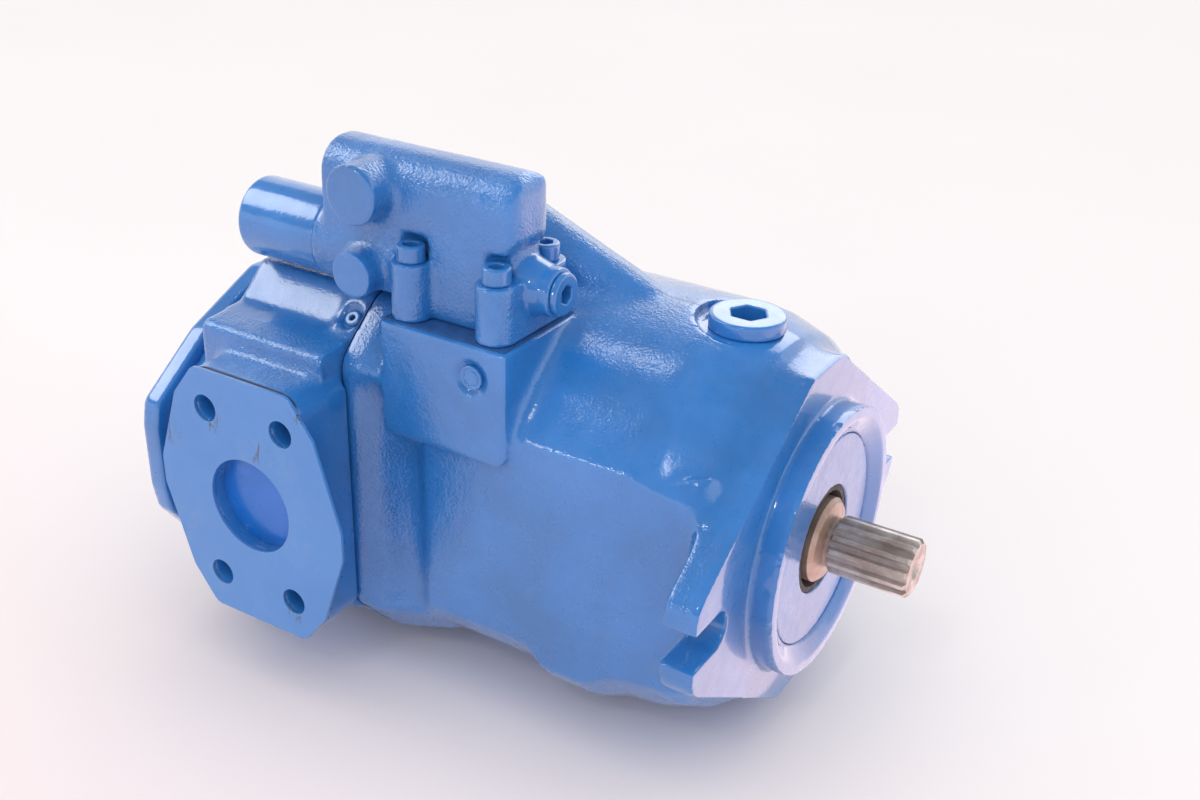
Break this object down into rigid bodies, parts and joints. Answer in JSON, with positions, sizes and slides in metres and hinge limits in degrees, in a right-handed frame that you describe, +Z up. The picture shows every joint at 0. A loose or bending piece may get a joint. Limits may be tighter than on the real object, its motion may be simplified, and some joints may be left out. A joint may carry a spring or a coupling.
{
  "type": "axial piston pump",
  "caption": "Swash-plate axial piston pump: cast housing with slotted flange and pilot, splined shaft, rear port plate, shipping covers and a control valve on top.",
  "frame": {"origin": "where the shaft axis crosses the mounting face of the flange", "axes": "+X along the drive shaft towards its splined end, +Y towards the pressure port, +Z up through the control valve; the suction port faces -Y"},
  "size_m": [0.2854, 0.1984, 0.21],
  "materials": {
    "blue_cast": "glossy blue enamel over a sand casting",
    "blue_machined": "glossy blue enamel over machined faces",
    "port_cover_blue": "glossy lighter blue, chipped shipping plate",
    "plug_blue": "painted plastic plug",
    "bare_shaft": "ground steel with brown tarnish",
    "steel": "machined steel",
    "bearing_steel": "polished bearing steel",
    "spring_steel": "dark spring wire",
    "bronze": "machined bronze",
    "block_steel": "machined nitrided steel",
    "black_rubber": "matte black rubber",
    "gasket_paper": "fibre sheet, its edge painted over"
  },
  "bodies": {
    "casing": {"pump_housing": "blue_cast", "port_plate": "blue_cast", "housing_gasket": "gasket_paper", "port_plate_screws": "blue_machined", "end_cover": "blue_machined", "end_cover_screws": "blue_machined", "end_cover_seal": "black_rubber", "suction_port_cover": "port_cover_blue", "suction_port_plug": "plug_blue", "pressure_port_cover": "port_cover_blue", "pressure_port_plug": "plug_blue", "drain_plug_top": "blue_machined", "drain_plug_bottom": "blue_machined", "pad_plug": "blue_machined", "port_plate_plug": "blue_machined", "front_bearing_cup": "bearing_steel", "rear_bearing_cup": "bearing_steel", "shaft_seal_case": "blue_machined", "shaft_seal_lip": "black_rubber", "swash_plate": "steel", "cradle_bearings": "bronze", "stroking_piston": "steel", "stroking_spring": "spring_steel", "return_guide": "steel", "return_spring": "spring_steel", "control_plate": "bronze", "valve_body": "blue_cast", "valve_gasket": "gasket_paper", "valve_screws": "blue_machined", "valve_cap": "blue_machined", "spring_stop": "steel", "spool_spring": "spring_steel", "spool_plug": "blue_machined", "gallery_plug": "blue_machined"},
    "rotor": {"drive_shaft": "bare_shaft", "front_bearing_cone": "bearing_steel", "rear_bearing_cone": "bearing_steel", "cylinder_block": "block_steel", "pistons": "steel", "slippers": "bronze", "retaining_plate": "steel", "retaining_ball": "steel", "centre_spring": "spring_steel"},
    "front_roller_set": {"front_bearing_rollers": "bearing_steel"},
    "rear_roller_set": {"rear_bearing_rollers": "bearing_steel"},
    "spool": {"control_spool": "steel", "spring_seat": "steel"}
  },
  "joints": [
    {"name": "shaft_spin", "type": "hinge", "parent": "casing", "child": "rotor", "pos_m": [0, 0, 0], "axis": [1, 0, 0], "continuous": true},
    {"name": "front_rollers_orbit", "type": "hinge", "parent": "casing", "child": "front_roller_set", "pos_m": [-0.017, 0, 0], "axis": [1, 0, 0], "continuous": true},
    {"name": "rear_rollers_orbit", "type": "hinge", "parent": "casing", "child": "rear_roller_set", "pos_m": [-0.163, 0, 0], "axis": [1, 0, 0], "continuous": true},
    {"name": "spool_slide", "type": "slide", "parent": "casing", "child": "spool", "axis": [1, 0, 0], "range_m": [-0.0015, 0.0025], "stiffness_N_per_m": 600, "deforming": ["spool_spring"]}
  ],
  "couplings": [
    {"joint": "front_rollers_orbit", "follows": "shaft_spin", "ratio": 0.4279},
    {"joint": "rear_rollers_orbit", "follows": "shaft_spin", "ratio": 0.4269}
  ]
}
